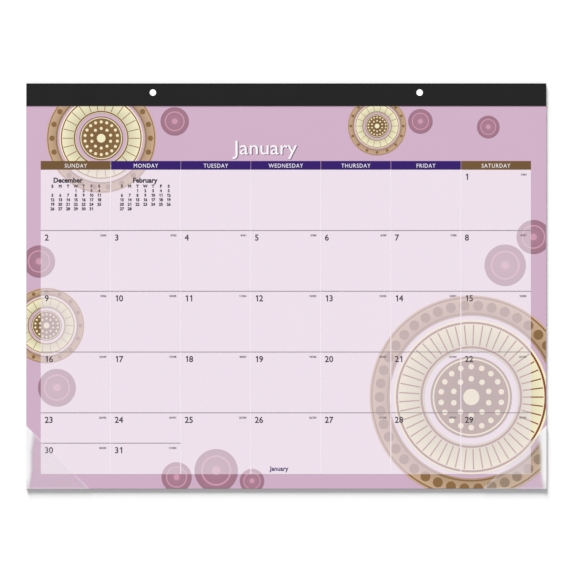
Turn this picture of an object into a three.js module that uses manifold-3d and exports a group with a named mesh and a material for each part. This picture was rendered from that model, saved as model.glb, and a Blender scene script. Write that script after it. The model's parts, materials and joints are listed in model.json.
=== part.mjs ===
// Desk pad calendar: twelve printed month sheets on a chipboard backing board. A folded headband
// holds them along the top, over four hidden staples, and clear film pockets hold the lower corners.
// Millimetres. The pad lies flat: +X to its right, +Y towards the headband, +Z up from the desk.

import * as THREE from "three";
import { mergeVertices } from "three/addons/utils/BufferGeometryUtils.js";
import Module from "manifold-3d";

const wasm = await Module();
wasm.setup();

// Sheets and backing board
const padWidth = 551.8;
const padHeight = 429.6;
const boardThickness = 1.0;
const sheetCount = 12;
const sheetThickness = 0.1;
const layerGap = 0.02; // air between two layers that lie on each other

// Headband: a strip folded over the pad's top edge
const bandThickness = 0.3;
const bandFrontHeight = 24;
const bandBackHeight = 24;

// Clear corners: film strips folded round the pad's lower corners
const filmThickness = 0.3;
const cornerLeg = 68; // along each edge, from the corner to the pocket's mouth
const cornerSeam = 0.4; // slit on the back, where the two folded flaps meet

// Folds of headband and film
const foldRadius = 0.3; // inside the fold
const foldClearance = 0.05; // from the pad's edge to where the fold starts to bend
const leastFlat = 0.03; // flat film left between a pocket's two bends, at least

// Hanging holes, punched through everything
const holeDiameter = 7.1;
const holeSpacing = 283.2;
const holeFromTop = 9.0;

// Flat-wire staples under the headband
const stapleCount = 4;
const stapleFromSide = 52; // from the pad's side to the middle of the first staple
const stapleFromTop = 15;
const stapleCrown = 13;
const stapleHook = 4.5; // each clinched end, from the outside of its leg
const wireThickness = 0.4;
const wireWidth = 0.6;
const wireBendRadius = 0.15; // inside the bend
const wireClearance = 0.1;

// Printed ink: date grid
const inkThickness = 0.03;
const panelLeftMargin = 15.3;
const panelRightMargin = 16.2;
const panelBottomMargin = 15.4;
const weekRowHeight = 64.5;
const weekRows = 5;
const lastRowExtra = 0.8; // the last row is this much taller
const weekDays = 7;
const weekdayBarHeight = 9.1;
const weekdayBarGap = 0.45;
const weekRuleWidth = 0.5;
const dayRuleWidth = 0.9;
const splitDays = 2; // cells of the last week that hold two dates each

// Printed ink: design of ring medallions and discs. Each is [side, in, edge, up or down, radius]:
// its middle's distance in from the pad's right (1) or left (-1) side, and from the headband (1)
// or the lower edge (-1).
const medallions = [
  [1, 79.5, -1, 97.2, 108],
  [-1, 79.5, 1, 34.3, 58],
  [1, 179.5, 1, 21.3, 31],
  [-1, 21.5, -1, 173.2, 40],
];
const medallionRings = [
  // inner and outer edge as shares of the medallion's radius, and the ring's colour
  [0.8, 1, "#c9a98a"],
  [0.46, 0.76, "#f1ecc6"],
  [0, 0.4, "#8b6a45"],
];
const discs = [
  [-1, 201.5, -1, 19.2, 23],
  [-1, 239.5, -1, 8.2, 13],
  [-1, 159.5, -1, 12.2, 16],
  [-1, 13.5, -1, 241.2, 17],
  [-1, 32.5, -1, 107.2, 20],
  [1, 43.5, -1, 237.2, 22],
  [1, 13.5, -1, 267.2, 18],
  [-1, 157.5, 1, 16.3, 15],
  [1, 133.5, 1, 16.3, 13],
  [1, 61.5, 1, 22.3, 12],
];
const inkEdge = 0.3; // bare paper kept between the ink and the headband or the sheet's edge

// Smoothness of round shapes
const bendSteps = 4; // in each square bend
const halfHoleSegments = 12; // for each half of a punched hole
const halfRingSegments = 20; // for each half of a printed circle

const cutMargin = 1; // how far a cutting shape runs past what it cuts
const weldDistance = 1e-4; // corners of a solid's faces closer than this are one corner

// Heights of the layers, from the desk up
const boardBottom = Math.max(bandThickness, filmThickness) + layerGap;
const boardTop = boardBottom + boardThickness;
const sheetBottom = boardTop + layerGap;
const sheetTop = sheetBottom + sheetCount * sheetThickness;
const inkBottom = (layer) => sheetTop + layerGap + layer * (inkThickness + layerGap);
const inkLayer = { panel: 0, design: 1, dayRules: 2, weekRules: 3 };
const bandFront = sheetTop + layerGap;
const filmFront = inkBottom(inkLayer.weekRules + 1);

// Edges of the pad. The box round everything is centred on the origin.
const foldGap = foldRadius + foldClearance; // from the pad's edge to the inside of a fold
const padLeft = -padWidth / 2;
const padRight = padWidth / 2;
const padBottom = -padHeight / 2 - (bandThickness - filmThickness) / 2;
const padTop = padBottom + padHeight;
const bandEdge = padTop + foldGap + bandThickness - bandFrontHeight;

// Materials
const paint = (color, roughness) => new THREE.MeshStandardMaterial({ color, roughness });
const chipboard = paint("#a49a8c", 0.95);
const paper = paint("#d4b3c9", 0.8);
const leatherette = paint("#282828", 0.6);
const lilacInk = paint("#ede0ea", 0.8);
const purpleInk = paint("#3e2b6f", 0.7);
const brownInk = paint("#765b3e", 0.7);
const greyInk = paint("#9b909d", 0.8);
const paleInk = paint("#f6ecf4", 0.8);
const mauveInk = paint("#a98392", 0.8);
const clearFilm = new THREE.MeshStandardMaterial({
  color: "#eef0f2",
  roughness: 0.15,
  transparent: true,
  opacity: 0.35,
});
const steelWire = new THREE.MeshStandardMaterial({
  color: "#b9bcc0",
  roughness: 0.35,
  metalness: 1,
});

const calendar = new THREE.Group();

function addPiece(name, geometry, material) {
  const piece = new THREE.Mesh(geometry, material);
  piece.name = name;
  calendar.add(piece);
}

// Closed geometry to a solid that can be cut, and back
function solidOf(geometry) {
  const bare = geometry.clone();
  bare.deleteAttribute("normal");
  bare.deleteAttribute("uv");
  const merged = mergeVertices(bare, weldDistance);
  return new wasm.Manifold(
    new wasm.Mesh({
      numProp: 3,
      vertProperties: merged.attributes.position.array,
      triVerts: new Uint32Array(merged.index.array),
    }),
  );
}

function geometryOf(solid) {
  const mesh = solid.getMesh();
  return new THREE.BufferGeometry()
    .setAttribute("position", new THREE.BufferAttribute(mesh.vertProperties, 3))
    .setIndex(new THREE.BufferAttribute(mesh.triVerts, 1));
}

// A flat outline given thickness upwards
function slab(outline, bottom, thickness, segments = halfHoleSegments) {
  const options = { depth: thickness, bevelEnabled: false, curveSegments: segments };
  return new THREE.ExtrudeGeometry(outline, options).translate(0, 0, bottom);
}

function rectangle(left, bottom, right, top) {
  return new THREE.Shape([
    new THREE.Vector2(left, bottom),
    new THREE.Vector2(right, bottom),
    new THREE.Vector2(right, top),
    new THREE.Vector2(left, top),
  ]);
}

function circle(x, y, radius) {
  return new THREE.Shape().absarc(x, y, radius, 0, 2 * Math.PI);
}

// A section drawn across the pad's thickness, given length along X or along Y
const alongX = new THREE.Matrix4().makeBasis(
  new THREE.Vector3(0, 1, 0),
  new THREE.Vector3(0, 0, 1),
  new THREE.Vector3(1, 0, 0),
);
const alongY = new THREE.Matrix4().makeBasis(
  new THREE.Vector3(1, 0, 0),
  new THREE.Vector3(0, 0, 1),
  new THREE.Vector3(0, -1, 0),
);

function sweep(section, length, middle, direction) {
  return new THREE.ExtrudeGeometry(section, { depth: length, bevelEnabled: false })
    .translate(0, 0, -length / 2)
    .applyMatrix4(direction)
    .translate(middle.x, middle.y, 0);
}

// Section of a strip of even thickness whose middle line turns square corners with round bends
function foldedStrip(corners, thickness, insideRadius) {
  const bendRadius = insideRadius + thickness / 2;
  const left = [];
  const right = [];
  const station = (point, direction) => {
    const side = new THREE.Vector2(-direction.y, direction.x).multiplyScalar(thickness / 2);
    left.push(point.clone().add(side));
    right.push(point.clone().sub(side));
  };
  corners.forEach((corner, i) => {
    const before = corners[i - 1];
    const after = corners[i + 1];
    const arriving = before && corner.clone().sub(before).normalize();
    const leaving = after && after.clone().sub(corner).normalize();
    if (!before || !after) {
      station(corner, arriving || leaving);
      return;
    }
    const centre = corner
      .clone()
      .addScaledVector(arriving, -bendRadius)
      .addScaledVector(leaving, bendRadius);
    for (let step = 0; step <= bendSteps; step++) {
      const turn = ((step / bendSteps) * Math.PI) / 2;
      const point = centre
        .clone()
        .addScaledVector(leaving, -bendRadius * Math.cos(turn))
        .addScaledVector(arriving, bendRadius * Math.sin(turn));
      const direction = arriving
        .clone()
        .multiplyScalar(Math.cos(turn))
        .addScaledVector(leaving, Math.sin(turn));
      station(point, direction);
    }
  });
  return new THREE.Shape([...left, ...right.reverse()]);
}

// Hanging holes: the punch goes through band, sheets and board alike
const holeCentres = [-holeSpacing / 2, holeSpacing / 2].map(
  (x) => new THREE.Vector2(x, padTop - holeFromTop),
);

function punchedSheet(bottom, thickness) {
  const outline = rectangle(padLeft, padBottom, padRight, padTop);
  outline.holes = holeCentres.map((hole) => circle(hole.x, hole.y, holeDiameter / 2));
  return slab(outline, bottom, thickness);
}

// Staples: crown let into the top sheets, legs through pad and board, ends clinched into its back
const crownTop = sheetTop;
const clinchBottom = boardBottom;
const stapleY = padTop - stapleFromTop;
const stapleSpan = padWidth - 2 * stapleFromSide;
const stapleXs = Array.from(
  { length: stapleCount },
  (_, i) => -stapleSpan / 2 + (stapleSpan * i) / (stapleCount - 1),
);

const stapleLegX = (stapleCrown - wireThickness) / 2; // from the staple's middle to a leg's middle

function staple(x) {
  const hookX = stapleCrown / 2 - stapleHook;
  const top = crownTop - wireThickness / 2;
  const bottom = clinchBottom + wireThickness / 2;
  const line = [
    new THREE.Vector2(-hookX, bottom),
    new THREE.Vector2(-stapleLegX, bottom),
    new THREE.Vector2(-stapleLegX, top),
    new THREE.Vector2(stapleLegX, top),
    new THREE.Vector2(stapleLegX, bottom),
    new THREE.Vector2(hookX, bottom),
  ];
  const section = foldedStrip(line, wireThickness, wireBendRadius);
  return sweep(section, wireWidth, new THREE.Vector2(x, stapleY), alongY);
}

function seatBlock(x, halfLength, bottom, top) {
  const halfWidth = wireWidth / 2 + wireClearance;
  const outline = rectangle(x - halfLength, stapleY - halfWidth, x + halfLength, stapleY + halfWidth);
  return solidOf(slab(outline, bottom, top - bottom));
}

// Room for the staples in a layer: leg slots right through, and a seat for crown or clinched ends
function cutForStaples(layer, seatBottom, seatTop) {
  let cut = layer;
  for (const x of stapleXs) {
    const halfCrown = stapleCrown / 2 + wireClearance;
    const halfLeg = wireThickness / 2 + wireClearance;
    cut = cut.subtract(seatBlock(x, halfCrown, seatBottom, seatTop));
    for (const legX of [x - stapleLegX, x + stapleLegX])
      cut = cut.subtract(seatBlock(legX, halfLeg, boardBottom - cutMargin, sheetTop + cutMargin));
  }
  return cut;
}

// Backing board, sheets and staples
const seatDepth = wireThickness + wireClearance;
const board = cutForStaples(
  solidOf(punchedSheet(boardBottom, boardThickness)),
  boardBottom - cutMargin,
  boardBottom + seatDepth,
);
addPiece("backing_board", geometryOf(board), chipboard);

const sheets = cutForStaples(
  solidOf(punchedSheet(sheetBottom, sheetTop - sheetBottom)),
  sheetTop - seatDepth,
  sheetTop + cutMargin,
);
addPiece("sheet_pad", geometryOf(sheets), paper);

stapleXs.forEach((x, i) => addPiece("staple_" + (i + 1), staple(x), steelWire));

// Headband
function headband() {
  const back = bandThickness / 2 + (boardBottom - layerGap - bandThickness);
  const front = bandFront + bandThickness / 2;
  const fold = padTop + foldGap + bandThickness / 2;
  const outside = fold + bandThickness / 2;
  const line = [
    new THREE.Vector2(outside - bandBackHeight, back),
    new THREE.Vector2(fold, back),
    new THREE.Vector2(fold, front),
    new THREE.Vector2(bandEdge, front),
  ];
  const section = foldedStrip(line, bandThickness, foldRadius);
  let band = solidOf(sweep(section, padWidth, new THREE.Vector2(0, 0), alongX));
  const height = bandFront + bandThickness;
  for (const hole of holeCentres) {
    const outline = circle(hole.x, hole.y, holeDiameter / 2);
    band = band.subtract(solidOf(slab(outline, -cutMargin, height + 2 * cutMargin)));
  }
  return band;
}
addPiece("headband", geometryOf(headband()), leatherette);

// Clear corner, on the left. Outside and inside of the pocket are blocks with rounded lower and side
// folds. What lies between them is the film, cut along the pocket's mouth and along its back seam.
const pocketCorner = new THREE.Vector2(padLeft, padBottom).subScalar(foldGap + filmThickness);

function pocketBlock(inset) {
  const bottom = boardBottom - layerGap - filmThickness + inset;
  const top = filmFront + filmThickness - inset;
  const radius = Math.min(foldRadius + filmThickness - inset, (top - bottom - leastFlat) / 2);
  const reach = 2 * cornerLeg + inset;
  const section = (edge) => {
    const outline = new THREE.Shape();
    outline.moveTo(edge + reach, bottom);
    outline.lineTo(edge + radius, bottom);
    outline.absarc(edge + radius, bottom + radius, radius, 1.5 * Math.PI, Math.PI, true);
    outline.absarc(edge + radius, top - radius, radius, Math.PI, 0.5 * Math.PI, true);
    outline.lineTo(edge + reach, top);
    return outline;
  };
  const edge = pocketCorner.clone().addScalar(inset);
  const lowerFold = sweep(section(edge.y), 2 * reach, new THREE.Vector2(edge.x, 0), alongX);
  const sideFold = sweep(section(edge.x), 2 * reach, new THREE.Vector2(0, edge.y), alongY);
  return solidOf(lowerFold).intersect(solidOf(sideFold));
}

function clearCorner() {
  const margin = cutMargin;
  const mouth = new THREE.Shape([
    pocketCorner.clone().add(new THREE.Vector2(-margin, -margin)),
    pocketCorner.clone().add(new THREE.Vector2(cornerLeg + margin, -margin)),
    pocketCorner.clone().add(new THREE.Vector2(-margin, cornerLeg + margin)),
  ]);
  const halfSeam = cornerSeam / Math.SQRT2; // half the slit's width, measured along X and Y
  const seam = new THREE.Shape([
    pocketCorner.clone().add(new THREE.Vector2(-margin + halfSeam, -margin)),
    pocketCorner.clone().add(new THREE.Vector2(cornerLeg + halfSeam, cornerLeg)),
    pocketCorner.clone().add(new THREE.Vector2(cornerLeg, cornerLeg + halfSeam)),
    pocketCorner.clone().add(new THREE.Vector2(-margin, -margin + halfSeam)),
  ]);
  const height = filmFront + filmThickness;
  return pocketBlock(0)
    .subtract(pocketBlock(filmThickness))
    .intersect(solidOf(slab(mouth, -margin, height + 2 * margin)))
    .subtract(solidOf(slab(seam, -margin, filmFront - foldRadius + margin)));
}

const cornerFilm = geometryOf(clearCorner());
addPiece("clear_corner_left", cornerFilm, clearFilm);
addPiece("clear_corner_right", cornerFilm, clearFilm);
calendar.getObjectByName("clear_corner_right").scale.x = -1;

// Printed date grid
const panelLeft = padLeft + panelLeftMargin;
const panelRight = padRight - panelRightMargin;
const panelBottom = padBottom + panelBottomMargin;
const panelTop = panelBottom + weekRows * weekRowHeight + lastRowExtra;
const dayWidth = (panelRight - panelLeft) / weekDays;
const dayNames = ["sunday", "monday", "tuesday", "wednesday", "thursday", "friday", "saturday"];

function printField(name, outline, layer, ink) {
  addPiece("print_" + name, slab(outline, inkBottom(layer), inkThickness), ink);
}

const panelOutline = rectangle(panelLeft, panelBottom, panelRight, panelTop);
printField("date_panel", panelOutline, inkLayer.panel, lilacInk);

for (let day = 0; day < weekDays; day++) {
  const left = panelLeft + day * dayWidth;
  const first = day === 0;
  const last = day === weekDays - 1;
  const bar = rectangle(
    left + (first ? 0 : weekdayBarGap / 2),
    panelTop,
    left + dayWidth - (last ? 0 : weekdayBarGap / 2),
    panelTop + weekdayBarHeight,
  );
  const ink = first || last ? brownInk : purpleInk;
  printField("bar_" + dayNames[day % dayNames.length], bar, inkLayer.dayRules, ink);
  if (first) continue;
  const rule = rectangle(left - dayRuleWidth / 2, panelBottom, left + dayRuleWidth / 2, panelTop);
  printField("day_rule_" + day, rule, inkLayer.dayRules, paleInk);
}

function weekRule(name, right, y) {
  const rule = rectangle(panelLeft, y - weekRuleWidth / 2, right, y + weekRuleWidth / 2);
  printField(name, rule, inkLayer.weekRules, greyInk);
}

for (let week = 1; week < weekRows; week++)
  weekRule("week_rule_" + week, panelRight, panelTop - week * weekRowHeight);
weekRule("split_rule", panelLeft + splitDays * dayWidth, panelTop - (weekRows - 0.5) * weekRowHeight);

// Printed design: everything is cut off at the headband and at the sheet's edges
const printArea = solidOf(
  slab(
    rectangle(padLeft + inkEdge, padBottom + inkEdge, padRight - inkEdge, bandEdge - inkEdge),
    sheetTop,
    filmFront - sheetTop,
  ),
);

function printDesign(name, outline, ink) {
  const field = slab(outline, inkBottom(inkLayer.design), inkThickness, halfRingSegments);
  addPiece("print_" + name, geometryOf(solidOf(field).intersect(printArea)), ink);
}

function designMiddle(side, fromSide, edge, fromEdge) {
  const x = side > 0 ? padRight - fromSide : padLeft + fromSide;
  const y = edge > 0 ? bandEdge - fromEdge : padBottom + fromEdge;
  return [x, y];
}

medallions.forEach(([side, fromSide, edge, fromEdge, radius], i) => {
  const [x, y] = designMiddle(side, fromSide, edge, fromEdge);
  medallionRings.forEach(([inner, outer, color], ring) => {
    const outline = circle(x, y, outer * radius);
    if (inner > 0) outline.holes.push(circle(x, y, inner * radius));
    printDesign("medallion_" + (i + 1) + "_ring_" + (ring + 1), outline, paint(color, 0.8));
  });
});
discs.forEach(([side, fromSide, edge, fromEdge, radius], i) => {
  const [x, y] = designMiddle(side, fromSide, edge, fromEdge);
  printDesign("disc_" + (i + 1), circle(x, y, radius), mauveInk);
});

export default calendar;
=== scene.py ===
"""Desk pad calendar: the finished looks of the month sheets, their printing, the backing board,
the headband, its staples and the clear corners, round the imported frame. Run as a script."""

import json
import math
import random

import bmesh
import bpy
from bpy.props import FloatProperty, FloatVectorProperty, IntProperty, PointerProperty
from mathutils import Matrix, Vector


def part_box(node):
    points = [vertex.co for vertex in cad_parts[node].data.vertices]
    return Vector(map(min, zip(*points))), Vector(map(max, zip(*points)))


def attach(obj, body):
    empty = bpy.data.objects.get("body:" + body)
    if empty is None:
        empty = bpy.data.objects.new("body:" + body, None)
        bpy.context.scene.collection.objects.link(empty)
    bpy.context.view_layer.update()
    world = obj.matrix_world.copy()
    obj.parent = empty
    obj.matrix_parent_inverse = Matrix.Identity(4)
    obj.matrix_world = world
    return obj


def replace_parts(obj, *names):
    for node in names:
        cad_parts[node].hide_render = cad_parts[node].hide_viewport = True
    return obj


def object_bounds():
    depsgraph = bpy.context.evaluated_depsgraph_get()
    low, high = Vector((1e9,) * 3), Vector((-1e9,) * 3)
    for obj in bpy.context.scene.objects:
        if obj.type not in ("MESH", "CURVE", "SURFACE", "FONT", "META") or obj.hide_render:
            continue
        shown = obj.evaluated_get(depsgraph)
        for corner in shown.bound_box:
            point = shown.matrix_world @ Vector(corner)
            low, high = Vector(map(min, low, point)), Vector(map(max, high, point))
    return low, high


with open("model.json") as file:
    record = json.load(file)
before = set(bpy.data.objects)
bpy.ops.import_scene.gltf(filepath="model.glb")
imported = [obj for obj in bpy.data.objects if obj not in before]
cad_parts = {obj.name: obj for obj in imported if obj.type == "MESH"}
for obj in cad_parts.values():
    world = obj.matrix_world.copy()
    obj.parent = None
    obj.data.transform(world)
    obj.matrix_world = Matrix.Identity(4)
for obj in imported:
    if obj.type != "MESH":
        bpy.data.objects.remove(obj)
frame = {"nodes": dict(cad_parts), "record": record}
cad_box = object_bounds()

bl_info = {
    "name": "Desk pad calendar",
    "version": (1, 0, 0),
    "blender": (4, 5, 0),
    "location": "View3D > Sidebar > Calendar",
    "description": "Builds the finished surfaces of a desk pad calendar round its packed frame",
    "category": "Object",
}

MM = 0.001


def srgb(red, green, blue):
    """A colour given as 0 to 255 values, in the linear values that sockets hold."""
    shares = [value / 255 for value in (red, green, blue)]
    return [s / 12.92 if s <= 0.04045 else ((s + 0.055) / 1.055) ** 2.4 for s in shares]


# Places that follow from the frame
PAD_LOW, PAD_HIGH = (Vector(corner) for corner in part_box("sheet_pad"))
PANEL_LOW, PANEL_HIGH = (Vector(corner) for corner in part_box("print_date_panel"))
BAR_LOW, BAR_HIGH = (Vector(corner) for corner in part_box("print_bar_monday"))
BAND_LOW, BAND_HIGH = (Vector(corner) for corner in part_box("headband"))
FILM_LOW, FILM_HIGH = (Vector(corner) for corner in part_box("clear_corner_left"))
DESIGN_LOW, DESIGN_TOP = (corner[2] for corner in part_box("print_disc_1"))
WEEK_DAYS, WEEK_ROWS = 7, 5
DAY_WIDTH = (PANEL_HIGH.x - PANEL_LOW.x) / WEEK_DAYS
WEEK_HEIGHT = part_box("print_week_rule_1")[1][1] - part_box("print_week_rule_2")[1][1]
HOLES = [opening["box_m"] for opening in frame["record"]["physics"]["openings"]]
HOLE_RADIUS = 3.55 * MM  # of the punched holes, which the openings' boxes stay inside

# The month shown, with the months before and after it. A first column of 0 is a Sunday.
MONTH, MONTH_BEFORE, MONTH_AFTER = "January", "December", "February"
FIRST_COLUMN, LAST_DATE = 6, 31
BEFORE_FIRST_COLUMN, BEFORE_LAST_DATE = 3, 31
AFTER_FIRST_COLUMN, AFTER_LAST_DATE = 2, 28
YEAR_DAYS = 365
DAY_WORDS = ["SUNDAY", "MONDAY", "TUESDAY", "WEDNESDAY", "THURSDAY", "FRIDAY", "SATURDAY"]


def length(name, default, description):
    return FloatProperty(
        name=name, description=description, default=default, min=0, unit="LENGTH", precision=5
    )


def colour(name, default, description):
    return FloatVectorProperty(
        name=name, description=description, default=default, min=0, max=1, size=3, subtype="COLOR"
    )


class CalendarSizes(bpy.types.PropertyGroup):
    """Sizes of the sheets and of the lettering."""

    sheet_count: IntProperty(
        name="Month sheets", description="How many sheets the pad holds", default=12, min=1
    )
    sheet_stray: length("Sheet stray", 0.22 * MM, "How far a sheet lies from true in the pad")
    ink: length("Ink", 0.012 * MM, "Thickness of printed lettering")
    title: length("Title", 14.4 * MM, "Height of the month's name")
    title_shadow: length("Title shadow", 0.9 * MM, "How far the title's shade is set to the right")
    date: length("Dates", 6.2 * MM, "Height of the date numerals")
    date_in: length("Date inset", 4.1 * MM, "From a cell's left side to its date")
    date_down: length("Date drop", 4.5 * MM, "From a cell's top to its date")
    day_count: length("Day counts", 1.9 * MM, "Height of the small day counts")
    weekday: length("Weekdays", 4.2 * MM, "Height of the weekday words")
    small_month: length("Small months", 4.9 * MM, "Height of the small calendars' headings")
    small_date: length("Small dates", 2.9 * MM, "Height of the small calendars' numerals")
    label: length("Month label", 4.5 * MM, "Height of the label under the grid")


class CalendarColours(bpy.types.PropertyGroup):
    """Colours of papers, inks, board and headband."""

    sheet: colour("Sheet", srgb(208, 176, 199), "Print that covers the whole sheet")
    screen: colour("Panel", srgb(238, 225, 235), "Pale tint behind the dates")
    purple: colour("Purple", srgb(55, 32, 108), "Weekday bars")
    brown: colour("Brown", srgb(115, 87, 57), "Weekend bars")
    grey: colour("Rules", srgb(150, 139, 147), "Rules between weeks")
    pale: colour("Pale rules", srgb(247, 236, 244), "Rules between days")
    text: colour("Text", srgb(62, 58, 68), "Dates and small figures")
    white: colour("White", srgb(250, 248, 250), "Reversed lettering and bare paper")
    title_shade: colour("Title shade", srgb(100, 76, 108), "Shade beside the title")
    cream: colour("Cream", srgb(241, 235, 198), "Palest ink of the design")
    tan: colour("Tan", srgb(201, 169, 138), "Light brown ink of the design")
    umber: colour("Umber", srgb(139, 106, 69), "Brown ink of the design")
    rust: colour("Rust", srgb(138, 75, 46), "Reddish brown ink of the design")
    mauve: colour("Mauve", srgb(168, 124, 142), "Dusty mauve ink of the design")
    band: colour("Headband", srgb(26, 26, 26), "Leatherette of the headband")
    board: colour("Board", srgb(163, 154, 141), "Chipboard")


def sizes():
    return bpy.context.scene.calendar_sizes


def colours():
    return bpy.context.scene.calendar_colours


class Wiring:
    """The nodes of one material, each added and joined in one call."""

    def __init__(self, name, colour):
        self.material = bpy.data.materials.new(name)
        self.material.use_nodes = True
        self.material.diffuse_color = (*colour, 1)
        self.tree = self.material.node_tree
        self.shader = self.tree.nodes["Principled BSDF"]
        self.place = self.add("ShaderNodeTexCoord").outputs["Object"]

    def add(self, kind, inputs=None, **settings):
        """A new node, with its settings, and with each of its inputs set or joined."""
        node = self.tree.nodes.new(kind)
        for setting, value in settings.items():
            setattr(node, setting, value)
        for socket, value in (inputs or {}).items():
            self.set(node, socket, value)
        return node

    def set(self, node, socket, value):
        if isinstance(value, bpy.types.NodeSocket):
            self.tree.links.new(value, node.inputs[socket])
        else:
            node.inputs[socket].default_value = value

    def math(self, operation, first, second=0.0):
        return self.add("ShaderNodeMath", {0: first, 1: second}, operation=operation).outputs[0]

    def noise(self, scale, detail=4.0, roughness=0.6, stretch=None):
        place = self.place
        if stretch:
            place = self.add("ShaderNodeMapping", {"Vector": place, "Scale": stretch}).outputs[0]
        inputs = {"Vector": place, "Scale": scale, "Detail": detail, "Roughness": roughness}
        return self.add("ShaderNodeTexNoise", inputs).outputs["Fac"]

    def spread(self, value, low, high, start=0.3, end=0.7, soft=False):
        """A value that runs from start to end, as one that runs from low to high."""
        inputs = {0: value, 1: start, 2: end, 3: low, 4: high}
        way = "SMOOTHSTEP" if soft else "LINEAR"
        return self.add("ShaderNodeMapRange", inputs, interpolation_type=way).outputs[0]

    def mix(self, factor, first, second, blend="MIX"):
        node = self.add("ShaderNodeMix", data_type="RGBA", blend_type=blend)
        self.set(node, 0, factor)
        self.set(node, 6, (*first, 1) if isinstance(first, (list, tuple)) else first)
        self.set(node, 7, (*second, 1) if isinstance(second, (list, tuple)) else second)
        return node.outputs[2]

    def grey(self, value):
        """A number as a colour that multiplies another."""
        return self.add("ShaderNodeCombineColor", {0: value, 1: value, 2: value}).outputs[0]

    def bump(self, height, strength, distance):
        inputs = {"Height": height, "Strength": strength, "Distance": distance}
        return self.add("ShaderNodeBump", inputs).outputs["Normal"]

    def finish(self, base, roughness=None, normal=None, **constants):
        self.set(self.shader, "Base Color", base)
        if roughness is not None:
            self.set(self.shader, "Roughness", roughness)
        if normal is not None:
            self.set(self.shader, "Normal", normal)
        for socket, value in constants.items():
            self.shader.inputs[socket.replace("_", " ")].default_value = value
        return self.material


def inside_panel(wires):
    """1 within the weekday bars and the pale panel, and 0 on the rest of the sheet."""
    axes = wires.add("ShaderNodeSeparateXYZ", {0: wires.place})
    low = (PANEL_LOW.x, PANEL_LOW.y)
    high = (PANEL_HIGH.x, BAR_HIGH.y)
    inside = 1.0
    for axis in range(2):
        half = (high[axis] - low[axis]) / 2
        off_middle = wires.math("SUBTRACT", axes.outputs[axis], low[axis] + half)
        off_middle = wires.math("ABSOLUTE", off_middle)
        inside = wires.math("MULTIPLY", inside, wires.math("LESS_THAN", off_middle, half))
    return inside


PRINT_GLOSS = 0.06  # mirror strength of smooth paper and the ink on it


def printed(name, ink, screened=0.0, shade=None, roughness=0.55):
    """Ink on smooth paper. screened is how much of the panel's tint lies over it in the panel."""
    wires = Wiring(name, ink)
    base = wires.mix(0.0, ink, ink)
    if shade is not None:
        base = wires.mix(1.0, base, wires.grey(shade(wires)), "MULTIPLY")
    if screened:
        factor = wires.math("MULTIPLY", inside_panel(wires), screened)
        base = wires.mix(factor, base, list(colours().screen))
    fibres = wires.noise(scale=700, detail=5)
    cloudy = wires.noise(scale=14, detail=3)
    tone = wires.math(
        "MULTIPLY", wires.spread(fibres, 0.993, 1.007), wires.spread(cloudy, 0.994, 1.006)
    )
    base = wires.mix(1.0, base, wires.grey(tone), "MULTIPLY")
    sheen = wires.spread(fibres, roughness - 0.05, roughness + 0.08)
    normal = wires.bump(fibres, strength=0.06, distance=0.02 * MM)
    return wires.finish(base, sheen, normal, Specular_IOR_Level=PRINT_GLOSS)


def radial_shade(middle, inner, outer, at_inner, at_outer):
    """Shading that runs evenly from a ring's inner edge to its outer edge."""

    def shade(wires):
        inputs = {0: wires.place, 1: middle}
        distance = wires.add("ShaderNodeVectorMath", inputs, operation="DISTANCE").outputs[1]
        return wires.spread(distance, at_inner, at_outer, inner, outer)

    return shade


STRAW, FLECK = [0.42, 0.36, 0.28], [0.09, 0.08, 0.07]
FLECK_RADIUS, FLECKS_ABOVE = 0.09, 0.56  # a fleck's share of its cell, and the noise it needs


def chipboard():
    """Grey pulp board, cloudy with straw and with a few dark flecks."""
    tint = list(colours().board)
    wires = Wiring("chipboard", tint)
    pulp = wires.noise(scale=260, detail=8, roughness=0.7)
    cloudy = wires.noise(scale=22, detail=4)
    base = wires.mix(wires.spread(pulp, 0, 1), [c * 0.86 for c in tint], [c * 1.1 for c in tint])
    base = wires.mix(wires.spread(cloudy, 0, 0.35), base, STRAW)
    flecks = wires.add("ShaderNodeTexVoronoi", {"Vector": wires.place, "Scale": 420})
    dark = wires.math("LESS_THAN", flecks.outputs["Distance"], FLECK_RADIUS)
    rare = wires.math("GREATER_THAN", wires.noise(scale=95, detail=2), FLECKS_ABOVE)
    base = wires.mix(wires.math("MULTIPLY", dark, rare), base, FLECK)
    normal = wires.bump(pulp, strength=0.35, distance=0.06 * MM)
    return wires.finish(base, wires.spread(pulp, 0.85, 0.97), normal, Specular_IOR_Level=0.1)


FOLD_SHADE_DARKEST, FOLD_SHADE_ENDS = 0.8 * MM, 2.4 * MM  # painted shade over the fold: darkest up to the first, gone by the second, both down from the headband's upper edge


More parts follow.
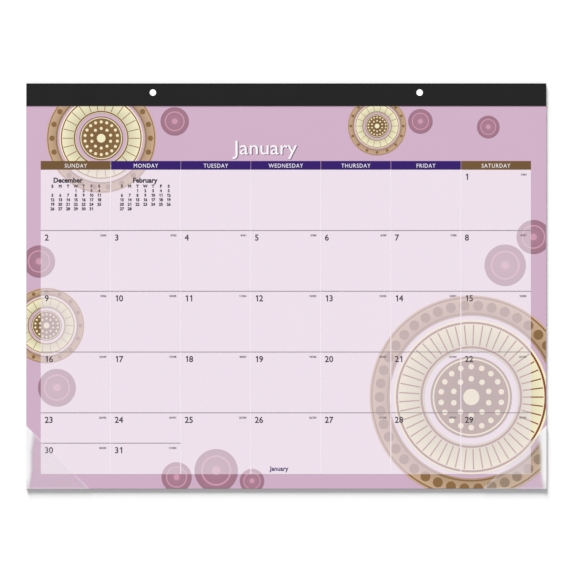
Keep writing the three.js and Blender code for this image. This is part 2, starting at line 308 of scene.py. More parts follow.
def leatherette():
    """Black embossed paper, with fine pores, and painted shade where it turns over the fold."""
    tint = list(colours().band)
    wires = Wiring("headband_leatherette", tint)
    inputs = {"Vector": wires.place, "Scale": 900, "Randomness": 0.9}
    grain = wires.add("ShaderNodeTexVoronoi", inputs, feature="DISTANCE_TO_EDGE").outputs[0]
    pores = wires.spread(grain, 0, 1, 0.0, 0.22)
    fine = wires.noise(scale=2200, detail=3)
    height = wires.math("ADD", pores, wires.math("MULTIPLY", fine, 0.25))
    deep, raised = ([c * share for c in tint] for share in (0.72, 1.05))
    base = wires.mix(wires.spread(pores, 0, 1, 0, 1), deep, raised)
    cloudy = wires.spread(wires.noise(scale=30, detail=3), 0.94, 1.06)
    base = wires.mix(1.0, base, wires.grey(cloudy), "MULTIPLY")
    # Painted shade: darker towards the upper edge, where the headband turns over its fold.
    up = wires.add("ShaderNodeSeparateXYZ", {0: wires.place}).outputs[1]
    painted_fold_shade = wires.spread(up, 1.0, 0.4, BAND_HIGH.y - FOLD_SHADE_ENDS, BAND_HIGH.y - FOLD_SHADE_DARKEST)
    base = wires.mix(1.0, base, wires.grey(painted_fold_shade), "MULTIPLY")
    roughness = wires.spread(pores, 0.62, 0.5, 0, 1)
    normal = wires.bump(height, strength=0.35, distance=0.05 * MM)
    return wires.finish(base, roughness, normal, Specular_IOR_Level=0.12)


def wire_steel():
    """Drawn steel wire, streaked along the staples' crowns."""
    tint = [0.62, 0.63, 0.65]
    wires = Wiring("staple_wire", tint)
    draw = wires.noise(scale=1500, detail=3, stretch=(0.05, 1, 1))
    base = wires.mix(wires.spread(draw, 0, 1), [c * 0.85 for c in tint], tint)
    return wires.finish(base, wires.spread(draw, 0.25, 0.42), Metallic=1.0)


# Clear film: how whitish its front is, from its haze and from painted glare and highlights, and
# over what lengths
FILM_TINT = [0.98, 0.97, 0.98]
FILM_HAZE = 0.12
FILM_FRONT = 0.1 * MM  # down from the film's top
FOOT_HIGHLIGHT, FOOT_FULL, FOOT_END = 0.34, 1.4 * MM, 2.2 * MM  # painted highlight along the lower fold
LIP_FULL, LIP_END = 0.8 * MM, 3.6 * MM  # painted highlight along the cut mouth: full up to the first, gone by the second, in from the mouth
# How whitish the painted highlight along the mouth is, in the middle and near the side.
LIP_HIGHLIGHT, LIP_HIGHLIGHT_AT_SIDE = 0.06, 0.5
NEAR_SIDE, NEAR_FOOT = (10 * MM, 24 * MM), (10 * MM, 22 * MM)  # where the lip fades
GLARE_RISE = (3 * MM, 20 * MM)  # up from the lower fold
GLARE_WIDTHS = (7 * MM, 10 * MM)
FLARE_RISE, GLARE_FLARE = (40 * MM, 58 * MM), 1.45  # the painted glare gets wider up at the mouth
PEAK_RISE, GLARE_PEAKS = (3 * MM, 12 * MM), (0.7, 0.97)  # how whitish the painted glare is at the side
GLARE_FADE = (0.3, 1.0)  # shares of the painted glare's width between which it fades out
EDGE_POWER, EDGE_SHARE, LEAST_MIRRORED = 5.0, 0.5, 0.02  # painted reflection: a white cover that grows towards grazing views, for what the film would mirror


def clear_film():
    """Clear film, see-through and glossy: whitish with painted glare along its outer edge and
    painted highlights along its lower fold and cut mouth.
    """
    wires = Wiring("clear_film", FILM_TINT)
    axes = wires.add("ShaderNodeSeparateXYZ", {0: wires.place})
    from_side = wires.math("SUBTRACT", FILM_LOW.x * -1, wires.math("ABSOLUTE", axes.outputs[0]))
    from_foot = wires.math("SUBTRACT", axes.outputs[1], FILM_LOW.y)
    leg = FILM_HIGH.x - FILM_LOW.x
    beyond = wires.math("SUBTRACT", leg, wires.math("ADD", from_side, from_foot))
    from_mouth = wires.math("MULTIPLY", beyond, math.sqrt(0.5))
    # Painted highlight along the cut mouth, stronger near the side and the lower fold.
    lip_side = wires.spread(from_side, LIP_HIGHLIGHT_AT_SIDE, LIP_HIGHLIGHT, *NEAR_SIDE)
    lip_foot = wires.spread(from_foot, FOOT_HIGHLIGHT, LIP_HIGHLIGHT, *NEAR_FOOT)
    lip_highlight = wires.spread(from_mouth, 1.0, 0.0, LIP_FULL, LIP_END)
    lip_highlight = wires.math("MULTIPLY", lip_highlight, wires.math("MAXIMUM", lip_side, lip_foot))
    # Painted highlight along the lower fold.
    foot_highlight = wires.spread(from_foot, FOOT_HIGHLIGHT, 0.0, FOOT_FULL, FOOT_END)
    # Painted glare: a whitish band along the outer edge, wider up at the mouth, for the light the
    # film throws back there.
    width = wires.spread(from_foot, *GLARE_WIDTHS, *GLARE_RISE)
    flare = wires.spread(from_foot, 1.0, GLARE_FLARE, *FLARE_RISE)
    ratio = wires.math("DIVIDE", from_side, wires.math("MULTIPLY", width, flare))
    peak = wires.spread(from_foot, *GLARE_PEAKS, *PEAK_RISE)
    painted_glare = wires.math("MULTIPLY", wires.spread(ratio, 1.0, 0.0, *GLARE_FADE, soft=True), peak)
    ripple = wires.spread(wires.noise(scale=60, detail=2, stretch=(1, 0.15, 1)), 0.9, 1.0)
    haze_and_painted_glare = wires.math("MAXIMUM", lip_highlight, wires.math("MULTIPLY", painted_glare, ripple))
    haze_and_painted_glare = wires.math("MAXIMUM", haze_and_painted_glare, foot_highlight)
    haze_and_painted_glare = wires.math("MAXIMUM", haze_and_painted_glare, FILM_HAZE)
    on_front = wires.math("GREATER_THAN", axes.outputs[2], FILM_HIGH.z - FILM_FRONT)
    haze_and_painted_glare = wires.math("MULTIPLY", haze_and_painted_glare, on_front)
    # Painted reflection: the film turns whiter towards grazing views.
    facing = wires.add("ShaderNodeLayerWeight", {"Blend": 0.5}).outputs["Facing"]
    painted_reflection = wires.math("MULTIPLY", wires.math("POWER", facing, EDGE_POWER), EDGE_SHARE)
    painted_reflection = wires.math("ADD", painted_reflection, LEAST_MIRRORED)
    wires.set(wires.shader, "Alpha", wires.math("MAXIMUM", haze_and_painted_glare, painted_reflection))
    return wires.finish((*FILM_TINT, 1), Roughness=0.12, IOR=1.46)


def dress(node, material):
    """Gives a CAD node its finished material."""
    piece = frame["nodes"][node]
    piece.data.materials.clear()
    piece.data.materials.append(material)


def new_piece(name, bm, slot, *materials):
    """A finished piece from a bmesh, riding on the pad."""
    mesh = bpy.data.meshes.new(name)
    bm.to_mesh(mesh)
    bm.free()
    for material in materials:
        mesh.materials.append(material)
    piece = bpy.data.objects.new(name, mesh)
    bpy.context.scene.collection.objects.link(piece)
    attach(piece, "root")
    return piece


def flat_disc(bm, middle, radius, segments):
    """A flat round disc."""
    place = Matrix.Translation((*middle, 0))
    bmesh.ops.create_circle(bm, cap_ends=True, radius=radius, segments=segments, matrix=place)


def flat_ring(bm, middle, inner, outer, segments):
    """A flat ring, from its inner to its outer radius."""
    place = Matrix.Translation((*middle, 0))
    edges = []
    for radius in (inner, outer):
        circle = bmesh.ops.create_circle(
            bm, cap_ends=False, radius=radius, segments=segments, matrix=place
        )
        edges += list({edge for vert in circle["verts"] for edge in vert.link_edges})
    bmesh.ops.bridge_loops(bm, edges=edges)


def flat_bar(bm, middle, size, angle=0.0, along=0.0):
    """A flat rectangle, size long and wide, turned round the middle at the distance along."""
    place = (
        Matrix.Translation((*middle, 0))
        @ Matrix.Rotation(angle, 4, "Z")
        @ Matrix.Translation((along, 0, 0))
        @ Matrix.Diagonal((size[0] / 2, size[1] / 2, 1, 1))
    )
    bmesh.ops.create_grid(bm, x_segments=1, y_segments=1, size=1, matrix=place)


BARE_EDGE = 0.3 * MM  # paper kept between the print and the sheet's edges or the headband


def trim_to_sheet(bm):
    """Cuts flat print off at the sheet's edges and at the headband."""
    borders = [
        ((PAD_LOW.x + BARE_EDGE, 0, 0), (-1, 0, 0)),
        ((PAD_HIGH.x - BARE_EDGE, 0, 0), (1, 0, 0)),
        ((0, PAD_LOW.y + BARE_EDGE, 0), (0, -1, 0)),
        ((0, BAND_LOW.y - BARE_EDGE, 0), (0, 1, 0)),
    ]
    for point, outwards in borders:
        everything = bm.verts[:] + bm.edges[:] + bm.faces[:]
        bmesh.ops.bisect_plane(
            bm, geom=everything, dist=1e-7, plane_co=point, plane_no=outwards, clear_outer=True
        )


def thicken(bm, bottom, top):
    """Gives flat print its thickness, between two heights."""
    made = bmesh.ops.extrude_face_region(bm, geom=bm.faces[:], use_keep_orig=True)
    raised = [item for item in made["geom"] if isinstance(item, bmesh.types.BMVert)]
    bmesh.ops.translate(bm, vec=(0, 0, top - bottom), verts=raised)
    bmesh.ops.translate(bm, vec=(0, 0, bottom), verts=bm.verts[:])
    bmesh.ops.recalc_face_normals(bm, faces=bm.faces[:])


LEAST_DETAIL = 0.004  # corners of a letter closer than this share of its height are one


def lettering(name, words, heights, material, slot, *, weight=0.0, stretch=1.0, spacing=1.0):
    """Words and numerals as raised ink. Each is (text, x, y, height of a capital, align), and
    weight is how far the letters' outlines move out, as a share of that height."""
    bm = bmesh.new()
    capital = capital_height()
    for text, x, y, height, align in words:
        curve = bpy.data.curves.new(name, "FONT")
        curve.body = text
        curve.size = height / capital
        curve.align_x = align
        curve.space_character = spacing
        curve.resolution_u = 3
        carrier = bpy.data.objects.new(name, curve)
        mesh = bpy.data.meshes.new_from_object(carrier)
        word = bmesh.new()
        word.from_mesh(mesh)
        bmesh.ops.remove_doubles(word, verts=word.verts[:], dist=LEAST_DETAIL * height)
        if text[0].isdigit():
            flag_ones(word, height)
        bolden(word, weight * height)
        word.transform(Matrix.Translation((x, y, 0)) @ Matrix.Diagonal((stretch, 1, 1, 1)))
        word.to_mesh(mesh)
        word.free()
        bm.from_mesh(mesh)
        bpy.data.objects.remove(carrier)
        bpy.data.curves.remove(curve)
        bpy.data.meshes.remove(mesh)
    thicken(bm, *heights)
    return new_piece(name, bm, slot, material)


def separate_shapes(bm):
    """The vertices of each shape in a bmesh that isn't joined to the others."""
    seen = set()
    shapes = []
    for start in bm.verts:
        if start in seen:
            continue
        seen.add(start)
        shape = [start]
        for vert in shape:
            for other in (edge.other_vert(vert) for edge in vert.link_edges):
                if other not in seen:
                    seen.add(other)
                    shape.append(other)
        shapes.append(shape)
    return shapes


# The numeral 1, in shares of the lettering's height
STROKE_TALL, STROKE_SLACK = 0.9, 0.01  # what counts as its plain upright stroke
STROKE_RIGHT = 0.1  # how far the stroke moves
FLAG_OUT = 0.18  # how far its flag stands out to the left
FLAG_TIP = (0.13, 0.26)  # the tip's two corners, down from the top
FLAG_FOOT = 0.2  # where the flag's underside meets the stroke


def flag_ones(bm, height):
    """Gives each numeral 1, a plain stroke in the built-in letters, its flag at the top left."""
    for shape in separate_shapes(bm):
        across = [vert.co.x for vert in shape]
        left, right = min(across), max(across)
        low, high = (end(vert.co.y for vert in shape) for end in (min, max))
        upright = all(min(x - left, right - x) < STROKE_SLACK * height for x in across)
        if not upright or high - low < STROKE_TALL * height:
            continue
        bmesh.ops.delete(bm, geom=shape, context="VERTS")
        left += STROKE_RIGHT * height
        right += STROKE_RIGHT * height
        tip = left - FLAG_OUT * height
        outline = [(left, low), (right, low), (right, high), (left, high)]
        outline += [(tip, high - down * height) for down in FLAG_TIP]
        outline.append((left, high - FLAG_FOOT * height))
        bm.faces.new([bm.verts.new((x, y, 0)) for x, y in outline])


SHARPEST_TURN = -0.9  # a corner that turns back further than this cosine stays put
LEAST_MITRE = 0.5  # a corner moves out by at most the amount over this


def bolden(bm, amount):
    """Moves the outline of flat letters outwards, or inwards where amount is below zero."""
    moves = []
    for vert in bm.verts:
        sides = []
        for edge in vert.link_edges:
            if edge.is_boundary:
                loop = edge.link_loops[0]
                along = (loop.link_loop_next.vert.co - loop.vert.co).normalized()
                sides.append(Vector((along.y, -along.x, 0)))
        if len(sides) == 2 and sides[0].dot(sides[1]) > SHARPEST_TURN:
            outwards = (sides[0] + sides[1]).normalized()
            reach = max(LEAST_MITRE, outwards.dot(sides[0]))
            moves.append((vert, outwards * amount / reach))
    for vert, move in moves:
        vert.co += move


def capital_height():
    """Height of a capital H in the built-in letters, at size 1."""
    curve = bpy.data.curves.new("capital", "FONT")
    curve.body = "H"
    carrier = bpy.data.objects.new("capital", curve)
    mesh = bpy.data.meshes.new_from_object(carrier)
    height = max(vert.co.y for vert in mesh.vertices) - min(vert.co.y for vert in mesh.vertices)
    bpy.data.objects.remove(carrier)
    bpy.data.curves.remove(curve)
    bpy.data.meshes.remove(mesh)
    return height


class CALENDAR_OT_board(bpy.types.Operator):
    """Finish the grey chipboard backing board"""

    bl_idname = "calendar.board"
    bl_label = "Backing board"

    def execute(self, context):
        dress("backing_board", chipboard())
        return {"FINISHED"}


PAPER_SHARE = 0.9  # of a sheet's share of the pad, less the air over it
STRAY_SEED = 7


class CALENDAR_OT_sheets(bpy.types.Operator):
    """Build the month sheets one by one, lying slightly out of true on each other"""

    bl_idname = "calendar.sheets"
    bl_label = "Month sheets"

    def execute(self, context):
        tints = colours()
        count = sizes().sheet_count
        stray = random.Random(STRAY_SEED)
        ink = printed("sheet_print", list(tints.sheet), shade=self.fade)
        bare = printed("sheet_paper", list(tints.white), roughness=0.75)
        step = (PAD_HIGH.z - PAD_LOW.z) / count
        for i in range(count):
            bm = bmesh.new()
            self.outline(bm)
            thicken(bm, PAD_LOW.z + i * step, PAD_LOW.z + (i + PAPER_SHARE) * step)
            for face in bm.faces:
                face.material_index = 0 if face.normal.z > 0.5 else 1
            if i < count - 1:
                shift = [stray.uniform(-1, 1) * sizes().sheet_stray for _ in range(2)]
                bmesh.ops.translate(bm, vec=(*shift, 0), verts=bm.verts[:])
            sheet = new_piece(f"month_sheet_{i + 1:02d}", bm, "sheet_paper", ink, bare)
            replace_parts(sheet, "sheet_pad")
        return {"FINISHED"}

    def fade(self, wires):
        """What the sheet's print is multiplied by: a little lighter towards the headband."""
        up = wires.add("ShaderNodeSeparateXYZ", {0: wires.place}).outputs[1]
        return wires.spread(up, 0.99, 1.03, PAD_LOW.y, PAD_HIGH.y)

    def outline(self, bm):
        """The sheet's flat outline, with its two punched holes."""
        middle = (PAD_LOW + PAD_HIGH) / 2
        size = PAD_HIGH - PAD_LOW
        place = Matrix.Translation((middle.x, middle.y, 0))
        place = place @ Matrix.Diagonal((size.x / 2, size.y / 2, 1, 1))
        bmesh.ops.create_grid(bm, x_segments=1, y_segments=1, size=1, matrix=place)
        bmesh.ops.delete(bm, geom=bm.faces[:], context="FACES_ONLY")
        for low, high in HOLES:
            centre = Matrix.Translation(((low[0] + high[0]) / 2, (low[1] + high[1]) / 2, 0))
            bmesh.ops.create_circle(bm, radius=HOLE_RADIUS, segments=32, matrix=centre)
        bmesh.ops.triangle_fill(bm, edges=bm.edges[:], use_beauty=True, normal=(0, 0, 1))


class CALENDAR_OT_headband(bpy.types.Operator):
    """Finish the folded headband and the staples that it hides"""

    bl_idname = "calendar.headband"
    bl_label = "Headband and staples"

    def execute(self, context):
        dress("headband", leatherette())
        steel = wire_steel()
        for node in frame["nodes"]:
            if node.startswith("staple_"):
                dress(node, steel)
        return {"FINISHED"}


class CALENDAR_OT_date_grid(bpy.types.Operator):
    """Print the pale panel, the weekday bars and the rules"""

    bl_idname = "calendar.date_grid"
    bl_label = "Date grid"

    def execute(self, context):
        tints = colours()
        inks = {
            "print_date_panel": printed("print_lilac", list(tints.screen)),
            "print_bar_s": printed("print_brown_bar", list(tints.brown)),
            "print_bar": printed("print_purple_bar", list(tints.purple)),
            "print_day_rule": printed("print_pale_rule", list(tints.pale)),
            "print_week_rule": printed("print_grey_rule", list(tints.grey)),
        }
        inks["print_split_rule"] = inks["print_week_rule"]
        for node in frame["nodes"]:
            for start, ink in inks.items():
                if node.startswith(start):
                    dress(node, ink)
                    break
        return {"FINISHED"}


# The design's parts, as shares of a medallion's or disc's radius
RING_SHARES = [(0.8, 1.0), (0.46, 0.76), (0.0, 0.4)]
HUB_SHARE = RING_SHARES[2][1]
RING_SHADE = (0.72, 1.06)  # at a ring's inner and outer edge
BEADS_AT, BEAD_RADIUS = 0.9, 0.05
RIM_LINES = ((0.815, 0.83), (0.97, 0.985))
SPOKES_AT, SPOKE_LENGTH, SPOKE_WIDTH = 0.61, 0.2, 0.012
SPOKE_LINES = ((0.48, 0.5), (0.72, 0.74))
HUB_EYE, HUB_DOT, HUB_LINE = 0.08, 0.028, (0.365, 0.38)
HUB_DOTS = ((0.18, 10), (0.3, 18))  # each ring's place, and how many dots it has
DISC_SHADE = (1.1, 0.9)
DISC_LINE, DISC_EYE = (0.62, 0.7), 0.2

BEAD_STEP, SPOKE_STEP = 2.6 * MM, 2.2 * MM  # length of a medallion's radius for each one
LEAST_BEADS, LEAST_SPOKES = 16, 18
SCREENED = 0.5  # how much of the panel's tint lies over the design
INK_OVERLAP = 0.005 * MM  # how far ink reaches into what it lies on
PALER = 1.6
CUT_SHORT = 1e-5  # a disc's box that is narrower than it is high by this is cut by the edge


def ring_places():
    """Each printed medallion's middle and outer radius, from its hub."""
    places = []
    number = 1
    while f"print_medallion_{number}_ring_3" in frame["nodes"]:
        low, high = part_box(f"print_medallion_{number}_ring_3")
        middle = ((low[0] + high[0]) / 2, (low[1] + high[1]) / 2)
        places.append((middle, (high[0] - low[0]) / 2 / HUB_SHARE))
        number += 1
    return places


class CALENDAR_OT_design(bpy.types.Operator):
    """Print the ring medallions and discs, with their beads, spokes and fine rings"""

    bl_idname = "calendar.design"
    bl_label = "Printed design"

    def execute(self, context):
        tints = colours()
        ring_inks = [list(tints.tan), list(tints.cream), list(tints.umber)]
        rust = printed("print_rust_detail", list(tints.rust), SCREENED)
        cream = printed("print_cream_detail", list(tints.cream), SCREENED)
        umber = printed("print_umber_detail", list(tints.umber), SCREENED)
        for number, (middle, radius) in enumerate(ring_places(), 1):
            for ring, shares in enumerate(RING_SHARES):
                inner, outer = (share * radius for share in shares)
                shade = radial_shade((*middle, DESIGN_TOP), inner, outer, *RING_SHADE)
                name = f"medallion_{number}_ring_{ring + 1}"
                ink = printed(name, ring_inks[ring], SCREENED, shade)
                self.field(name, middle, inner, outer, ink)
            self.rim(number, middle, radius, umber)
            self.spokes(number, middle, radius, rust)
            self.hub(number, middle, radius, cream)
        self.discs(tints)
        return {"FINISHED"}

    def field(self, name, middle, inner, outer, material):
        """One round field of ink, which takes its CAD solid's place with a finer outline."""
        bm = bmesh.new()
        if inner > 0:
            flat_ring(bm, middle, inner, outer, segments=160)
        else:
            flat_disc(bm, middle, outer, segments=120)
        trim_to_sheet(bm)
        thicken(bm, DESIGN_LOW, DESIGN_TOP)
        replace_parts(new_piece(name, bm, "print_brown", material), "print_" + name)

    def detail(self, name, bm, material):
        """Fine print that lies on the round fields."""
        trim_to_sheet(bm)
        thicken(bm, DESIGN_TOP - INK_OVERLAP, DESIGN_TOP + sizes().ink)
        new_piece(name, bm, "print_brown", material)

    def rim(self, number, middle, radius, ink):
        """Beads along the outer ring, between two fine rings."""
        bm = bmesh.new()
        beads = max(LEAST_BEADS, round(radius / BEAD_STEP))
        for i in range(beads):
            turn = Matrix.Rotation(2 * math.pi * i / beads, 2)
            place = Vector(middle) + turn @ Vector((radius * BEADS_AT, 0))
            flat_disc(bm, place, radius * BEAD_RADIUS, segments=14)
        for inner, outer in RIM_LINES:
            flat_ring(bm, middle, radius * inner, radius * outer, segments=96)
        self.detail(f"medallion_{number}_beads", bm, ink)

    def spokes(self, number, middle, radius, ink):
        """Fine spokes across the cream ring."""
        bm = bmesh.new()
        spokes = max(LEAST_SPOKES, round(radius / SPOKE_STEP))
        size = (radius * SPOKE_LENGTH, radius * SPOKE_WIDTH)
        for i in range(spokes):
            flat_bar(bm, middle, size, 2 * math.pi * i / spokes, radius * SPOKES_AT)
        for inner, outer in SPOKE_LINES:
            flat_ring(bm, middle, radius * inner, radius * outer, segments=80)
        self.detail(f"medallion_{number}_spokes", bm, ink)

    def hub(self, number, middle, radius, ink):
        """Two rings of dots round the hub's small disc."""
        bm = bmesh.new()
        flat_disc(bm, middle, radius * HUB_EYE, segments=24)
        for share, dots in HUB_DOTS:
            for i in range(dots):
                turn = Matrix.Rotation(2 * math.pi * (i + 0.5) / dots, 2)
                place = Vector(middle) + turn @ Vector((radius * share, 0))
                flat_disc(bm, place, radius * HUB_DOT, segments=12)
        inner, outer = HUB_LINE
        flat_ring(bm, middle, radius * inner, radius * outer, segments=64)
        self.detail(f"medallion_{number}_hub_dots", bm, ink)

    def discs(self, tints):
        """The loose discs, each with a paler ring inside it."""
        mauve = list(tints.mauve)
        pale = printed("print_mauve_detail", [min(1, c * PALER) for c in mauve], SCREENED)
        bm = bmesh.new()
        inner, outer = DISC_LINE
        for node in frame["nodes"]:
            if not node.startswith("print_disc_"):
                continue
            low, high = (Vector(corner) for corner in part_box(node))
            middle, radius = disc_circle(low, high)
            shade = radial_shade((*middle, DESIGN_TOP), 0, radius, *DISC_SHADE)
            name = node.removeprefix("print_")
            self.field(name, middle, 0, radius, printed(name, mauve, SCREENED, shade))
            flat_ring(bm, middle, radius * inner, radius * outer, segments=48)
            flat_disc(bm, middle, radius * DISC_EYE, segments=20)
        self.detail("disc_rings", bm, pale)


def disc_circle(low, high):
    """Middle and radius of a printed disc, from its box, which a sheet edge may cut short."""
    radius = max(high.x - low.x, high.y - low.y) / 2
    x = (low.x + high.x) / 2
    y = (low.y + high.y) / 2
    if high.x - low.x < 2 * radius - CUT_SHORT:
        x = high.x - radius if low.x < 0 else low.x + radius
    if high.y - low.y < 2 * radius - CUT_SHORT:
        y = high.y - radius if low.y < 0 else low.y + radius
    return (x, y), radius


# Where the lettering stands
TEXT_OVERLAP = 0.002 * MM  # how far the dates' ink reaches into the panel
TITLE_LEFT, TITLE_DOWN = -55.6 * MM, 74.8 * MM  # from the pad's middle and upper edge
TITLE_SHADE_DOWN = 0.4 * MM
LABEL_LEFT, LABEL_UP = -17.3 * MM, 19.1 * MM  # from the pad's middle and lower edge
WEEKDAY_DOWN = 0.4 * MM  # from the middle of the bars
COUNT_IN, COUNT_DOWN = 4.7 * MM, 6.2 * MM  # from a cell's right side and its top
SMALL_CALENDARS = (
    # calendar's left and its heading's indent, name, first day's column and last date
    (12.4 * MM, 0.9 * MM, MONTH_BEFORE, BEFORE_FIRST_COLUMN, BEFORE_LAST_DATE),
    (86.1 * MM, 11.6 * MM, MONTH_AFTER, AFTER_FIRST_COLUMN, AFTER_LAST_DATE),
)
HEADING_DOWN, LETTERS_DOWN = 13.7 * MM, 5.35 * MM  # from the panel's top and the heading
SMALL_COLUMN, SMALL_ROW = 8.28 * MM, 4.8 * MM


class CALENDAR_OT_lettering(bpy.types.Operator):
    """Print the month's name, weekdays, dates, day counts and the two small calendars"""

    bl_idname = "calendar.lettering"
    bl_label = "Lettering"

    def execute(self, context):
        size = sizes()
        tints = colours()
        text = printed("print_text", list(tints.text))
        purple = printed("print_purple_text", list(tints.purple))
        white = printed("print_white", list(tints.white))
        shade = printed("print_title_shade", list(tints.title_shade))
        on_panel = (PANEL_HIGH.z - TEXT_OVERLAP, DESIGN_TOP + 2 * size.ink)
        on_bars = (BAR_HIGH.z - INK_OVERLAP, BAR_HIGH.z + size.ink)
        self.title(white, shade)
        weekdays = [
            (word, self.column(day + 0.5), self.bar_baseline(), size.weekday, "CENTER")
            for day, word in enumerate(DAY_WORDS)
        ]
        look = {"stretch": 0.88, "spacing": 1.17}
        lettering("weekday_words", weekdays, on_bars, white, "print_pale_rule", **look)
        label = [(MONTH, LABEL_LEFT, PAD_LOW.y + LABEL_UP, size.label, "LEFT")]
        headings = []
        letters = []
        figures = []
        top = PANEL_HIGH.y - HEADING_DOWN
        for left, indent, name, first, last in SMALL_CALENDARS:
            x = PANEL_LOW.x + left
            headings.append((name, x + indent, top, size.small_month, "LEFT"))
            self.small_calendar(x, top - LETTERS_DOWN, first, last, letters, figures)
        for name, words, ink, slot, weight in (
            ("date_numerals", self.dates(), text, "print_grey_rule", 0.02),
            ("day_counts", self.day_counts(), text, "print_grey_rule", 0.03),
            ("month_label", label, purple, "print_purple_bar", 0.03),
            ("small_headings", headings, text, "print_grey_rule", 0.055),
            ("small_letters", letters, text, "print_grey_rule", 0.08),
            ("small_numerals", figures, text, "print_grey_rule", 0.065),
        ):
            lettering(name, words, on_panel, ink, slot, weight=weight)
        return {"FINISHED"}

    def title(self, white, shade):
        """The month's name over its own shade."""
        size = sizes()
        y = PAD_HIGH.y - TITLE_DOWN
        above = [(MONTH, TITLE_LEFT, y, size.title, "LEFT")]
        shade_x = TITLE_LEFT + size.title_shadow
        below = [(MONTH, shade_x, y - TITLE_SHADE_DOWN, size.title, "LEFT")]
        middle = PANEL_HIGH.z
        look = {"weight": 0.004, "stretch": 1.08}
        lettering("month_title_shade", below, (PAD_HIGH.z, middle), shade, "print_mauve", **look)
        lettering("month_title", above, (middle, DESIGN_TOP), white, "print_pale_rule", **look)

    def column(self, day):
        return PANEL_LOW.x + day * DAY_WIDTH

    def bar_baseline(self):
        return (BAR_LOW.y + BAR_HIGH.y - sizes().weekday) / 2 - WEEKDAY_DOWN

    def cells(self):
        """Each date, its cell's column and the height of its cell's top. Dates past the last
        row share its cells, in their lower half."""
        for date in range(1, LAST_DATE + 1):
            place = FIRST_COLUMN + date - 1
            row, day = divmod(place, WEEK_DAYS)
            if row >= WEEK_ROWS:
                row = WEEK_ROWS - 0.5
            yield date, day, PANEL_HIGH.y - row * WEEK_HEIGHT

    def dates(self):
        size = sizes()
        return [
            (
                str(date),
                self.column(day) + size.date_in,
                top - size.date_down - size.date,
                size.date,
                "LEFT",
            )
            for date, day, top in self.cells()
        ]

    def day_counts(self):
        size = sizes()
        return [
            (
                f"{date}/{YEAR_DAYS - date}",
                self.column(day + 1) - COUNT_IN,
                top - COUNT_DOWN,
                size.day_count,
                "RIGHT",
            )
            for date, day, top in self.cells()
        ]

    def small_calendar(self, left, letters_y, first, last, letters, figures):
        """Adds a small calendar's row of day letters and the month's numerals."""
        height = sizes().small_date
        for day, word in enumerate(DAY_WORDS):
            letters.append((word[0], left + day * SMALL_COLUMN, letters_y, height, "CENTER"))
        for date in range(1, last + 1):
            row, day = divmod(first + date - 1, WEEK_DAYS)
            y = letters_y - (row + 1) * SMALL_ROW
            figures.append((str(date), left + day * SMALL_COLUMN, y, height, "CENTER"))


class CALENDAR_OT_clear_corners(bpy.types.Operator):
    """Finish the two clear film corners"""

    bl_idname = "calendar.clear_corners"
    bl_label = "Clear corners"

    def execute(self, context):
        film = clear_film()
        dress("clear_corner_left", film)
        dress("clear_corner_right", film)
        return {"FINISHED"}


# Stage: how the photograph frames and lights the pad
PHOTO_SIDE = 573  # pixels
MM_PER_PIXEL = 551.8 / 519.84  # the pad's width, in each
PAD_MIDDLE_PIXEL = (286.25, 286.3)  # from the picture's upper left corner
CAMERA_HEIGHT = 2.6  # metres above the floor
SENSOR = 36
LAMP_SHARE = 0.66  # of the light on a level sheet. The world gives the rest.
LAMP_RISE = math.radians(21)  # above the floor
LAMP_FROM = math.radians(106)  # round from +X, so past the headband and a little to the left
LAMP_WIDTH = math.radians(24)  # as seen from the pad
FLOOR_WHITE = (0.95, 0.95, 0.95, 1)
FLOOR_HALF, FLOOR_DOWN = 6, 0.05 * MM  # half its side, and how far it lies below the pad
FLOOR_GLOW = 0.07  # what the floor adds to the light that falls on it, where it is seen
HOLE_GLOW_RADII = 1.5  # painted light: the floor glows plain white within this many radii of a hole's middle, where the pad shades it


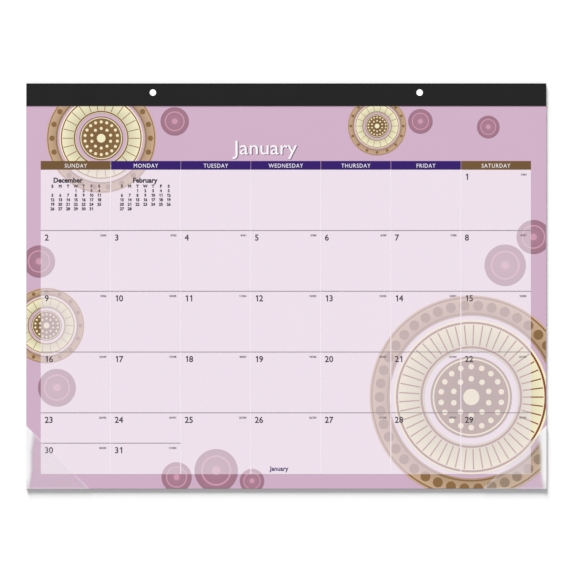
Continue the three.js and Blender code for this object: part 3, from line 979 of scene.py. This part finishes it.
class CALENDAR_OT_stage(bpy.types.Operator):
    """Lay the pale floor and set the lamp, the world and the camera"""

    bl_idname = "calendar.stage"
    bl_label = "Stage"

    def execute(self, context):
        scene = context.scene
        scene.view_settings.view_transform = "Standard"
        self.floor()
        self.lamp(scene)
        self.world(scene)
        self.camera(scene)
        return {"FINISHED"}

    def floor(self):
        """The floor: matte where the pad's shadow falls, and white to the camera and mirrors."""
        bm = bmesh.new()
        bmesh.ops.create_grid(bm, x_segments=8, y_segments=8, size=FLOOR_HALF)
        bmesh.ops.translate(bm, vec=(0, 0, cad_box[0][2] - FLOOR_DOWN), verts=bm.verts[:])
        mesh = bpy.data.meshes.new("floor")
        bm.to_mesh(mesh)
        bm.free()
        floor = bpy.data.objects.new("floor", mesh)
        bpy.context.scene.collection.objects.link(floor)
        wires = Wiring("floor_white", [0.8, 0.8, 0.8])
        path = wires.add("ShaderNodeLightPath")
        seen = wires.math("MAXIMUM", path.outputs["Is Camera Ray"], path.outputs["Is Glossy Ray"])
        seen = wires.math("MAXIMUM", seen, path.outputs["Is Transmission Ray"])
        bright = FLOOR_GLOW
        # Painted light: round each hole the floor glows plain white, though the pad shades it
        # there.
        for low, high in HOLES:
            middle = ((low[0] + high[0]) / 2, (low[1] + high[1]) / 2, cad_box[0][2])
            inputs = {0: wires.place, 1: middle}
            away = wires.add("ShaderNodeVectorMath", inputs, operation="DISTANCE").outputs[1]
            near = wires.math("LESS_THAN", away, HOLE_GLOW_RADII * HOLE_RADIUS)
            bright = wires.math("MAXIMUM", bright, near)
        glow = wires.add("ShaderNodeEmission", {"Color": (1, 1, 1, 1)})
        wires.set(glow, "Strength", wires.math("MULTIPLY", seen, bright))
        matte = wires.add("ShaderNodeBsdfDiffuse", {"Color": FLOOR_WHITE})
        both = wires.add("ShaderNodeAddShader", {0: glow.outputs[0], 1: matte.outputs[0]})
        wires.tree.links.new(
            both.outputs[0], wires.tree.nodes["Material Output"].inputs["Surface"]
        )
        wires.tree.nodes.remove(wires.shader)
        mesh.materials.append(wires.material)

    def lamp(self, scene):
        """A broad low lamp past the headband, which throws the shadow towards the reader."""
        light = bpy.data.lights.new("window", "SUN")
        light.angle = LAMP_WIDTH
        light.energy = LAMP_SHARE * math.pi / math.sin(LAMP_RISE)
        lamp = bpy.data.objects.new("window", light)
        towards = Vector(
            (
                math.cos(LAMP_FROM) * math.cos(LAMP_RISE),
                math.sin(LAMP_FROM) * math.cos(LAMP_RISE),
                math.sin(LAMP_RISE),
            )
        )
        lamp.rotation_euler = towards.to_track_quat("Z", "Y").to_euler()
        lamp.location = towards
        scene.collection.objects.link(lamp)

    def world(self, scene):
        """Even light from all round, and plain white where it is seen or mirrored."""
        world = bpy.data.worlds.new("studio")
        world.use_nodes = True
        scene.world = world
        nodes = world.node_tree.nodes
        links = world.node_tree.links
        path = nodes.new("ShaderNodeLightPath")
        seen = path.outputs["Is Camera Ray"]
        for kind in ("Is Glossy Ray", "Is Transmission Ray"):
            either = nodes.new("ShaderNodeMath")
            either.operation = "MAXIMUM"
            links.new(seen, either.inputs[0])
            links.new(path.outputs[kind], either.inputs[1])
            seen = either.outputs[0]
        strength = nodes.new("ShaderNodeMapRange")
        strength.inputs[3].default_value = 1 - LAMP_SHARE
        strength.inputs[4].default_value = 1
        links.new(seen, strength.inputs[0])
        links.new(strength.outputs[0], nodes["Background"].inputs["Strength"])
        nodes["Background"].inputs["Color"].default_value = (1, 1, 1, 1)

    def camera(self, scene):
        """Straight above the pad, far enough for its edges to stay parallel in the picture."""
        data = bpy.data.cameras.new("camera")
        camera = bpy.data.objects.new("camera", data)
        to_top = CAMERA_HEIGHT - PAD_HIGH.z
        data.sensor_width = SENSOR
        data.lens = data.sensor_width * to_top / (PHOTO_SIDE * MM_PER_PIXEL * MM)
        middle = PHOTO_SIDE / 2
        x = (middle - PAD_MIDDLE_PIXEL[0]) * MM_PER_PIXEL * MM
        y = (PAD_MIDDLE_PIXEL[1] - middle) * MM_PER_PIXEL * MM
        camera.location = (x, y, CAMERA_HEIGHT)
        scene.collection.objects.link(camera)
        scene.camera = camera


class CALENDAR_PT_build(bpy.types.Panel):
    """Lists the steps that build the desk pad calendar"""

    bl_idname = "CALENDAR_PT_build"
    bl_label = "Desk pad calendar"
    bl_space_type = "VIEW_3D"
    bl_region_type = "UI"
    bl_category = "Calendar"

    def draw(self, context):
        for operator in OPERATORS:
            self.layout.operator(operator.bl_idname)
        for group in (context.scene.calendar_sizes, context.scene.calendar_colours):
            for name in type(group).__annotations__:
                self.layout.prop(group, name)


OPERATORS = (
    CALENDAR_OT_stage,
    CALENDAR_OT_board,
    CALENDAR_OT_sheets,
    CALENDAR_OT_headband,
    CALENDAR_OT_date_grid,
    CALENDAR_OT_design,
    CALENDAR_OT_lettering,
    CALENDAR_OT_clear_corners,
)
CLASSES = (CalendarSizes, CalendarColours, *OPERATORS, CALENDAR_PT_build)


def register():
    for item in CLASSES:
        bpy.utils.register_class(item)
    bpy.types.Scene.calendar_sizes = PointerProperty(type=CalendarSizes)
    bpy.types.Scene.calendar_colours = PointerProperty(type=CalendarColours)


def unregister():
    del bpy.types.Scene.calendar_sizes
    del bpy.types.Scene.calendar_colours
    for item in reversed(CLASSES):
        bpy.utils.unregister_class(item)


def main():
    register()
    for operator in OPERATORS:
        group, name = operator.bl_idname.split(".")
        getattr(getattr(bpy.ops, group), name)()


if __name__ == "__main__":
    main()
